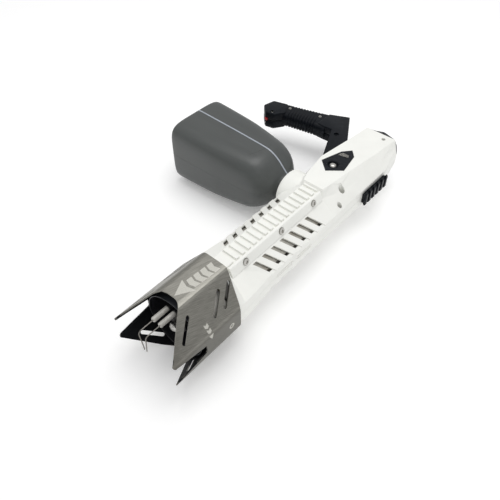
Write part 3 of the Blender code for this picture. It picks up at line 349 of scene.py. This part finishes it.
def insulator_glaze():
    """Glazed sleeve, painted black behind its front end as painted shade where it goes back into its holder."""
    t = Tree("sleeve_glaze")
    x, _, _ = t.axes()
    waved = t.math("ADD", x, t.ramp(t.noise(420.0), 0.0, 1.0, -0.0010, 0.0010))
    # Painted shade: black over the sleeve behind its front end, where it goes into the dark holder.
    painted_shade = t.ramp(waved, 0.1580, 0.1598, 1.0, 0.0)
    cloud = t.noise(240.0, 4.0)
    colour = t.mix(t.ramp(cloud, 0.35, 0.7), (0.50, 0.485, 0.45), (0.38, 0.37, 0.34))
    colour = t.mix(painted_shade, colour, (0.012, 0.012, 0.013))
    return t.finish(colour, t.ramp(t.noise(900.0), 0.3, 0.7, 0.25, 0.42), 0.0,
                    t.bump(t.noise(1500.0, 2.0), 0.00001, 0.5), Coat_Weight=0.2)


def heat_dark():
    """Steel blackened by heat, with a few paler rubbed patches."""
    t = Tree("heat_darkened_steel")
    cloud = t.noise(160.0, 5.0, 0.65)
    colour = t.mix(t.ramp(cloud, 0.42, 0.72), (0.018, 0.018, 0.019), (0.075, 0.070, 0.062))
    return t.finish(colour, t.ramp(cloud, 0.3, 0.7, 0.34, 0.55), 0.7,
                    t.bump(t.noise(1800.0, 3.0), 0.00002, 0.5))


def tube_steel():
    """Rolled tube: pale outside, darkened towards its mouth by painted shade, and black inside."""
    t = Tree("rolled_tube_steel")
    x, y, z = t.axes()
    roll = t.noise(900.0, 4.0, 0.65, vector=t.scaled(1.0, 0.04, 0.04))
    colour = t.mix(t.ramp(roll, 0.35, 0.65), (0.66, 0.65, 0.60), (0.80, 0.78, 0.72))
    # Painted shade: the tube darkens towards its mouth, under the shroud's front edge.
    waved = t.math("ADD", x, t.ramp(t.noise(90.0, 3.0), 0.0, 1.0, -0.003, 0.003))
    colour = t.mix(t.ramp(waved, 0.1400, 0.1480), colour, (0.034, 0.037, 0.044))
    inner = t.inner_side(y, z)
    colour = t.mix(inner, colour, (0.008, 0.008, 0.010))
    metal = t.math("MULTIPLY", t.math("SUBTRACT", 1.0, inner), 0.3)
    return t.finish(colour, t.ramp(roll, 0.3, 0.7, 0.34, 0.48), metal, t.bump(roll, 0.000015, 0.5))


MATERIALS = {
    # The white body is greyed with painted shade where the shroud covers it.
    "white_nylon": moulded("white_nylon_fine", (0.865, 0.868, 0.828), (0.900, 0.902, 0.862),
                           rough=(0.40, 0.54), grain=1500.0, depth=0.000022, painted_shade=True),
    "black_nylon": moulded("black_nylon_fine", (0.0036, 0.0048, 0.0072), (0.0060, 0.0078, 0.0110),
                           rough=(0.30, 0.42), grain=1700.0, depth=0.00002, worn=(0.022, 0.025, 0.030),
                           specular=0.12),
    "grey_tank_plastic": tank_plastic(),
    "brushed_steel": brushed_shroud(),
    "liner_steel": folded_liner(),
    "bright_screw_steel": turned_steel("turned_screw_steel", (0.56, 0.55, 0.52)),
    "ceramic": glazed("glazed_ceramic", (0.52, 0.50, 0.46), (0.42, 0.40, 0.36)),
    "red_plastic": glazed("red_gloss", (0.50, 0.012, 0.018), (0.36, 0.008, 0.012)),
    "pale_level_strip": glazed("pale_strip", (0.40, 0.43, 0.48), (0.33, 0.36, 0.41), 0.30),
    "brass": turned_steel("turned_brass", (0.66, 0.48, 0.20), 0.26),
    "battery_wrap": glazed("shrink_wrap", (0.03, 0.09, 0.20), (0.02, 0.06, 0.14)),
    "circuit_board": board_face(),
}

for name, node in frame["nodes"].items():
    node.data.materials.clear()
    node.data.materials.append(MATERIALS[SLOT_OF[name]])


# ---- shape tools ----------------------------------------------------------

def new_piece(name, mesh, slot, body, material=None):
    piece = bpy.data.objects.new(name, mesh)
    bpy.context.scene.collection.objects.link(piece)
    mesh.materials.clear()
    mesh.materials.append(material or MATERIALS[slot])
    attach(piece, body)
    return piece


def baked(bm, modifiers=()):
    """Mesh of a bmesh with modifiers applied: (kind, settings) pairs."""
    mesh = bpy.data.meshes.new("work")
    bm.to_mesh(mesh)
    bm.free()
    work = bpy.data.objects.new("work", mesh)
    bpy.context.scene.collection.objects.link(work)
    for kind, settings in modifiers:
        step = work.modifiers.new(kind, kind)
        for key, value in settings.items():
            setattr(step, key, value)
    bpy.context.view_layer.update()
    done = bpy.data.meshes.new_from_object(work.evaluated_get(bpy.context.evaluated_depsgraph_get()))
    bpy.data.objects.remove(work)
    return done


def weigh_edges(bm, sharp, long_sharp, long_edge):
    """Bevel weight on every clear edge, and on long edges between nearly level faces."""
    layer = bm.edges.layers.float.new("bevel_weight_edge")
    for edge in bm.edges:
        if len(edge.link_faces) != 2:
            continue
        angle = math.degrees(edge.calc_face_angle(0.0))
        if angle > sharp or (angle > long_sharp and edge.calc_length() > long_edge):
            edge[layer] = 1.0


def smooth_finish(mesh, angle):
    mesh.shade_smooth()
    mesh.set_sharp_from_angle(angle=math.radians(angle))


def refined(node, width=0.0004, segments=2, sharp=25, long_sharp=6, long_edge=0.006, material=None):
    """A copy of a CAD node with its edges rounded, shown in its place."""
    bm = bmesh.new()
    bm.from_mesh(frame["nodes"][node].data)
    bmesh.ops.remove_doubles(bm, verts=bm.verts, dist=0.000003)
    bmesh.ops.dissolve_limit(bm, angle_limit=math.radians(0.8), verts=bm.verts, edges=bm.edges)
    weigh_edges(bm, sharp, long_sharp, long_edge)
    bevel = {"width": width, "segments": segments, "limit_method": "WEIGHT", "use_clamp_overlap": True,
             "miter_outer": "MITER_ARC", "harden_normals": False}
    mesh = baked(bm, [("BEVEL", bevel), ("WEIGHTED_NORMAL", {"keep_sharp": False, "weight": 80})])
    piece = new_piece(node + "_finish", mesh, SLOT_OF[node], BODY_OF[node], material)
    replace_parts(piece, node)
    return piece


# ---- camera, floor and light ----------------------------------------------

CAMERA_AT = (0.3483, 0.2735, 0.4799)
CAMERA_RIGHT = (-0.6559, 0.7548, 0.0016)
CAMERA_BACK = (0.5081, 0.4400, 0.7404)
CAMERA_LENS = 37.9


def camera():
    data = bpy.data.cameras.new("camera")
    data.lens = CAMERA_LENS
    data.sensor_width = 36.0
    data.clip_start, data.clip_end = 0.01, 20.0
    cam = bpy.data.objects.new("camera", data)
    back = Vector(CAMERA_BACK).normalized()
    right = Vector(CAMERA_RIGHT)
    right = (right - back * right.dot(back)).normalized()
    up = back.cross(right)
    cam.matrix_world = Matrix.Translation(device(*CAMERA_AT)) @ Matrix((right, up, back)).transposed().to_4x4()
    bpy.context.scene.collection.objects.link(cam)
    bpy.context.scene.camera = cam


def area_light(name, place, target, size, power, colour=(1.0, 1.0, 1.0)):
    data = bpy.data.lights.new(name, "AREA")
    data.shape = "DISK"
    data.size = size
    data.energy = power
    data.color = colour
    light = bpy.data.objects.new(name, data)
    light.location = place
    light.rotation_mode = "QUATERNION"
    light.rotation_quaternion = (Vector(target) - Vector(place)).to_track_quat("-Z", "Y")
    bpy.context.scene.collection.objects.link(light)


def studio():
    world = bpy.data.worlds.new("studio")
    bpy.context.scene.world = world
    world.use_nodes = True
    nodes, links = world.node_tree.nodes, world.node_tree.links
    direction = nodes.new("ShaderNodeTexCoord")
    parts = nodes.new("ShaderNodeSeparateXYZ")
    links.new(direction.outputs["Generated"], parts.inputs[0])
    level = nodes.new("ShaderNodeMapRange")
    level.inputs["From Min"].default_value, level.inputs["From Max"].default_value = -0.1, 0.9
    level.inputs["To Min"].default_value, level.inputs["To Max"].default_value = 0.46, 0.82
    links.new(parts.outputs["Z"], level.inputs["Value"])
    background = nodes["Background"]
    background.inputs["Color"].default_value = (1.0, 1.0, 1.0, 1.0)
    links.new(level.outputs["Result"], background.inputs["Strength"])

    area_light("key", (-0.20, 0.02, 1.30), (0.0, 0.0, 0.0), 0.9, 5.6)

    bm = bmesh.new()
    bmesh.ops.create_grid(bm, x_segments=2, y_segments=2, size=6.0)
    mesh = bpy.data.meshes.new("floor")
    bm.to_mesh(mesh)
    bm.free()
    floor = bpy.data.objects.new("floor", mesh)
    floor.location.z = CAD_BOX[0][2] - 0.0002
    bpy.context.scene.collection.objects.link(floor)
    t = Tree("floor_paper")
    grain = t.noise(300.0, 3.0)
    t.finish(t.mix(grain, (0.93, 0.93, 0.93), (0.955, 0.955, 0.955)), 0.95, 0.0, t.bump(grain, 0.00002, 0.3),
             Emission_Color=(1.0, 1.0, 1.0, 1.0), Emission_Strength=0.16)
    mesh.materials.append(t.material)
    bpy.context.scene.view_settings.view_transform = "Standard"
    bpy.context.scene.view_settings.look = "None"


camera()
studio()

# ---- body, rails and small hard pieces ------------------------------------

for node in ("body_shell_upper", "body_shell_lower"):
    refined(node, 0.0005, 3)
for node in ("side_rail_upper", "side_rail_lower"):
    refined(node, 0.00035, 2)
refined("tank_mount", 0.0008, 3, 30, 90)
refined("accessory_rail", 0.0004, 2)
refined("rear_cap", 0.0010, 3, 12, 12)
refined("control_panel", 0.0003, 2)
refined("button_bezel", 0.0002, 2, 30, 90)
refined("panel_badge", 0.0002, 2, material=badge_face())
dark_steel = heat_dark()
refined("nozzle_bulkhead", 0.0006, 2, 25, 90, material=dark_steel)
refined("nozzle_barrel", 0.0006, 2, 25, 90, material=dark_steel)
refined("flame_tube", 0.00025, 2, 30, 90, material=tube_steel())
refined("nozzle_tip", 0.0003, 2, 25, 90)
refined("electrode_bracket", 0.0003, 2, material=dark_steel)
refined("red_button", 0.0008, 3)
refined("battery_pack", 0.0030, 4)
refined("control_board", 0.0004, 2)
refined("pump_block", 0.0012, 3)


# ---- tank -----------------------------------------------------------------

TANK_X = -0.1030
NECK_R = 0.0165
NECK_END_Y = -0.0330
TANK_SECTIONS = (            # y, half width, half height, squareness
    (-0.2270, 0.0458, 0.0408, 5.0),
    (-0.2240, 0.0502, 0.0450, 5.5),
    (-0.2160, 0.0520, 0.0468, 6.0),
    (-0.1500, 0.0505, 0.0452, 5.0),
    (-0.1100, 0.0468, 0.0436, 4.0),
    (-0.0910, 0.0450, 0.0424, 3.4),
    (-0.0830, 0.0438, 0.0403, 3.1),
    (-0.0760, 0.0420, 0.0366, 2.9),
    (-0.0700, 0.0388, 0.0322, 2.7),
    (-0.0650, 0.0345, 0.0274, 2.5),
    (-0.0600, 0.0290, 0.0222, 2.3),
    (-0.0565, 0.0230, 0.0190, 2.1),
    (-0.0530, 0.0185, 0.0175, 2.0),
    (-0.0503, NECK_R, NECK_R, 2.0),
)


def smooth_sections(sections, steps):
    """More sections between the given ones, on a smooth curve through them."""
    rows = np.array(sections, float)
    rows = np.vstack([2 * rows[0] - rows[1], rows, 2 * rows[-1] - rows[-2]])
    found = []
    for a, b, c, d in zip(rows, rows[1:], rows[2:], rows[3:]):
        for t in np.arange(steps) / steps:
            smooth = 0.5 * (2 * b + (c - a) * t + (2 * a - 5 * b + 4 * c - d) * t ** 2
                            + (3 * b - a - 3 * c + d) * t ** 3)
            straight = b + (c - b) * t
            found.append(smooth * 0.6 + straight * 0.4)
    found.append(rows[-2])
    return [tuple(row) for row in found]


def superellipse(half_w, half_h, power, count):
    points = []
    for i in range(count):
        turn = 2 * math.pi * (i + 0.5) / count
        c, s = math.cos(turn), math.sin(turn)
        points.append((half_w * math.copysign(abs(c) ** (2 / power), c),
                       half_h * math.copysign(abs(s) ** (2 / power), s)))
    return points


def loft_into(bm, rings):
    """Join closed rings of equally many points, and close the two ends."""
    rows = [[bm.verts.new(point) for point in ring] for ring in rings]
    count = len(rows[0])
    for near, far in zip(rows, rows[1:]):
        for i in range(count):
            k = (i + 1) % count
            bm.faces.new((near[i], near[k], far[k], far[i]))
    bm.faces.new(rows[0])
    bm.faces.new(rows[-1])
    bm.normal_update()
    bmesh.ops.recalc_face_normals(bm, faces=bm.faces)
    if bm.calc_volume(signed=True) < 0:
        bmesh.ops.reverse_faces(bm, faces=bm.faces)


TANK_ROWS = smooth_sections(TANK_SECTIONS, 5)
# Share of the half width, and lift off the tank.
STRIP_SECTION = ((-1.0, -0.0003), (-1.0, 0.0003), (-0.6, 0.00055), (0.0, 0.00065),
                 (0.6, 0.00055), (1.0, 0.0003), (1.0, -0.0003))


def tank_ring(y, half_w, half_h, power, count=120):
    return [device(TANK_X + x, y, z) for x, z in superellipse(half_w, half_h, power, count)]


def tank_height(x, half_w, half_h, power):
    return half_h * (1 - min(abs(x - TANK_X) / half_w, 1.0) ** power) ** (1 / power)


def tank():
    """Blow-moulded vessel with a recessed end and a neck."""
    end_y = TANK_SECTIONS[0][0]
    rings = [tank_ring(end_y + 0.0022, 0.0330, 0.0290, 4.0), tank_ring(end_y + 0.0022, 0.0360, 0.0318, 4.0),
             tank_ring(end_y + 0.0004, 0.0384, 0.0340, 4.2), tank_ring(end_y, 0.0404, 0.0358, 4.4)]
    rings += [tank_ring(*row) for row in TANK_ROWS]
    rings.append(tank_ring(NECK_END_Y - 0.0010, NECK_R, NECK_R, 2.0))
    rings.append(tank_ring(NECK_END_Y, NECK_R - 0.0008, NECK_R - 0.0008, 2.0))
    bm = bmesh.new()
    loft_into(bm, rings)
    mesh = baked(bm)
    smooth_finish(mesh, 50)
    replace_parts(new_piece("tank_body", mesh, "grey_tank_plastic", "tank"), "tank")


def bead(name, points, radius, slot, body):
    """A thin rounded line laid on a surface, such as a mould seam."""
    curve = bpy.data.curves.new(name, "CURVE")
    curve.dimensions = "3D"
    curve.bevel_depth = radius
    curve.bevel_resolution = 3
    curve.use_fill_caps = True
    spline = curve.splines.new("POLY")
    spline.points.add(len(points) - 1)
    for point, place in zip(spline.points, points):
        point.co = (*place, 1.0)
    guide = bpy.data.objects.new(name, curve)
    mesh = bpy.data.meshes.new_from_object(guide)
    bpy.data.objects.remove(guide)
    bpy.data.curves.remove(curve)
    mesh.shade_smooth()
    return new_piece(name, mesh, slot, body)


def tank_lines():
    """Mould seams along both narrow sides, a short arc on the shoulder, and the sight strip."""
    for side, name in ((1, "near"), (-1, "far")):
        points = [device(TANK_X + side * (row[1] - 0.00012), row[0], 0.0) for row in TANK_ROWS[4:]]
        bead("tank_seam_" + name, points, 0.00028, "grey_tank_plastic", "tank")
    points = []
    for i in range(25):
        t = i / 24
        x = -0.0800 - 0.0400 * t
        y = -0.1015 + 0.0090 * math.sin(math.pi * 0.5 * t)
        widths = [np.interp(y, [r[0] for r in TANK_ROWS], [r[k] for r in TANK_ROWS]) for k in (1, 2, 3)]
        points.append(device(x, y, tank_height(x, *widths) - 0.00008))
    bead("tank_shoulder_seam", points, 0.00035, "grey_tank_plastic", "tank")

    half, x = 0.0011, TANK_X - 0.0055
    rings = []
    for row in TANK_ROWS[8:-6]:
        ring = []
        for share, lift in STRIP_SECTION:
            u = x + share * half
            ring.append(device(u, row[0], tank_height(u, *row[1:]) + lift))
        rings.append(ring)
    bm = bmesh.new()
    loft_into(bm, rings)
    mesh = baked(bm)
    smooth_finish(mesh, 60)
    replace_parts(new_piece("level_strip_finish", mesh, "pale_level_strip", "tank"), "level_strip")


# ---- handle ---------------------------------------------------------------

GRIP_START = Vector((-0.2575, -0.0960, 0.0))
GRIP_DIR = (Vector((-0.2360, -0.1822, 0.0)) - GRIP_START).normalized()
GRIP_ACROSS = Vector((-GRIP_DIR.y, GRIP_DIR.x, 0.0))
PARTING = 0.00015
ARM = ((-0.1720, -0.0300), (-0.1720, -0.0430), (-0.2080, -0.0590), (-0.2410, -0.0735), (-0.2400, -0.0860),
       (-0.2400, -0.0990), (-0.2716, -0.0990), (-0.2854, -0.0700), (-0.2360, -0.0409), (-0.2175, -0.0300))
BLOCK = ((-0.2093, -0.1787), (-0.2233, -0.1928), (-0.2430, -0.1882), (-0.2500, -0.1640), (-0.2285, -0.1530),
         (-0.2120, -0.1640))
HANDLE_SCREWS = ((-0.2575, -0.1070), (-0.2445, -0.1562), (-0.2165, -0.1700))
ARM_BOLT = (-0.2346, -0.0606)
GROOVE_START, GROOVE_STEP, GROOVES, GROOVE_DEPTH = 0.0114, 0.00481, 10, 0.0013
GRIP_HALF_WIDTH, GRIP_TAPER, GRIP_SHIFT, GRIP_HALF_HEIGHT = 0.0181, 0.052, 0.0031, 0.0119
FRONT_POWER, REAR_POWER = 4.0, 9.0
ARM_HALF_HEIGHT, BLOCK_HALF_HEIGHT = 0.0125, 0.0140
BUTTON_POCKET_MIDDLE, BUTTON_POCKET_SIZE = (-0.2124, -0.1767, 0.0010), (0.0106, 0.0056, 0.0050)


def groove_depth(distance):
    """How deep the nearest groove is at a distance along the grip."""
    turn = (distance - GROOVE_START) / GROOVE_STEP
    if not 0 <= turn < GROOVES:
        return 0.0
    off = abs(turn % 1.0 - 0.36) / 0.27
    return GROOVE_DEPTH * math.cos(min(off, 1.0) * math.pi / 2) ** 0.8


def grip_ring(up, distance):
    """Half a cross-section of the grip, squarer at its rear edge, with any groove there taken out."""
    half_w = GRIP_HALF_WIDTH - GRIP_TAPER * distance
    ring, steps = [], 40
    for i in range(steps + 1):
        turn = math.pi * i / steps
        c, s = math.cos(turn), math.sin(turn)
        share = 2 / (FRONT_POWER if i < steps / 2 else REAR_POWER)
        side = math.copysign(abs(c) ** share, c)
        plain = half_w * side
        front = min(max((plain - 0.0035) / 0.0035, 0.0), 1.0)
        rear = min(max((-plain - half_w + 0.0034) / 0.0012, 0.0), 1.0)
        lost = groove_depth(distance) * max(front, rear)
        height = max((GRIP_HALF_HEIGHT - lost) * abs(s) ** share, PARTING)
        if i in (0, steps):
            height = PARTING
        place = GRIP_START + GRIP_DIR * distance + GRIP_ACROSS * (GRIP_SHIFT + (half_w - lost) * side)
        ring.append(device(place.x, place.y, up * height))
    return ring


def prism(outline, height, up):
    bm = bmesh.new()
    loft_into(bm, [[device(x, y, up * z) for x, y in outline] for z in (PARTING, height)])
    return bm


def rod_mesh(bm, start, end, radius, sides=32):
    start, end = Vector(start), Vector(end)
    turn = Vector((0, 0, 1)).rotation_difference(end - start).to_matrix().to_4x4()
    bmesh.ops.create_cone(bm, cap_ends=True, segments=sides, radius1=radius, radius2=radius,
                          depth=(end - start).length, matrix=Matrix.Translation((start + end) / 2) @ turn)


def work_object(mesh):
    work = bpy.data.objects.new("work", mesh)
    bpy.context.scene.collection.objects.link(work)
    return work


def combined(mesh, others):
    """A mesh joined with or cut by others: (operation, mesh) pairs."""
    work = work_object(mesh)
    helpers = []
    for operation, other in others:
        helper = work_object(other)
        helpers.append(helper)
        step = work.modifiers.new("step", "BOOLEAN")
        step.operation, step.object, step.solver, step.use_self = operation, helper, "EXACT", True
    bpy.context.view_layer.update()
    done = bpy.data.meshes.new_from_object(work.evaluated_get(bpy.context.evaluated_depsgraph_get()))
    for old in [work, *helpers]:
        bpy.data.objects.remove(old)
    return done


def handle_half(up):
    """One half of the handle: rounded arm and end block, and a grip grooved along its two edges."""
    side = "upper" if up > 0 else "lower"
    rounding = {"width": 0.0013, "segments": 4, "limit_method": "ANGLE", "angle_limit": math.radians(25)}
    arm = baked(prism(ARM, ARM_HALF_HEIGHT, up), [("BEVEL", rounding)])
    block = baked(prism(BLOCK, BLOCK_HALF_HEIGHT, up), [("BEVEL", {**rounding, "width": 0.0024})])
    bm = bmesh.new()
    first, last = GROOVE_START, GROOVE_START + GROOVES * GROOVE_STEP
    distances = [-0.0060, 0.0020, *np.linspace(first, last, GROOVES * 12 + 1), 0.0680, 0.0800]
    loft_into(bm, [grip_ring(up, float(distance)) for distance in distances])
    grip = baked(bm)
    holes = bmesh.new()
    if up > 0:
        for x, y in HANDLE_SCREWS:
            rod_mesh(holes, device(x, y, 0.0090), device(x, y, 0.0400), 0.0030)
    rod_mesh(holes, device(*ARM_BOLT, up * 0.0080), device(*ARM_BOLT, up * 0.0300), 0.0038)
    pocket = Matrix.Translation(device(*BUTTON_POCKET_MIDDLE)) @ Matrix.Diagonal((*BUTTON_POCKET_SIZE, 1.0))
    bmesh.ops.create_cube(holes, size=1.0, matrix=pocket)
    mesh = combined(arm, [("UNION", block), ("UNION", grip), ("DIFFERENCE", baked(holes))])
    smooth_finish(mesh, 38)
    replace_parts(new_piece("handle_" + side + "_finish", mesh, "black_nylon", "torch"), "handle_" + side)


tank()
tank_lines()
handle_half(1)
handle_half(-1)

dot = bmesh.new()
rod_mesh(dot, device(-0.2105, -0.1778, -0.0052), device(-0.2086, -0.1778, -0.0052), 0.0009, 24)
dot_mesh = baked(dot, [("BEVEL", {"width": 0.0004, "segments": 3, "limit_method": "ANGLE"})])
smooth_finish(dot_mesh, 50)
new_piece("red_button_pin", dot_mesh, "bright_screw_steel", "torch")

glaze = insulator_glaze()
for name in ("insulator_near", "insulator_far"):
    frame["nodes"][name].data.materials[0] = glaze
wire = turned_steel("heated_wire", (0.26, 0.245, 0.225), 0.34)
for name in ("electrode_near", "electrode_far"):
    frame["nodes"][name].data.materials[0] = wire
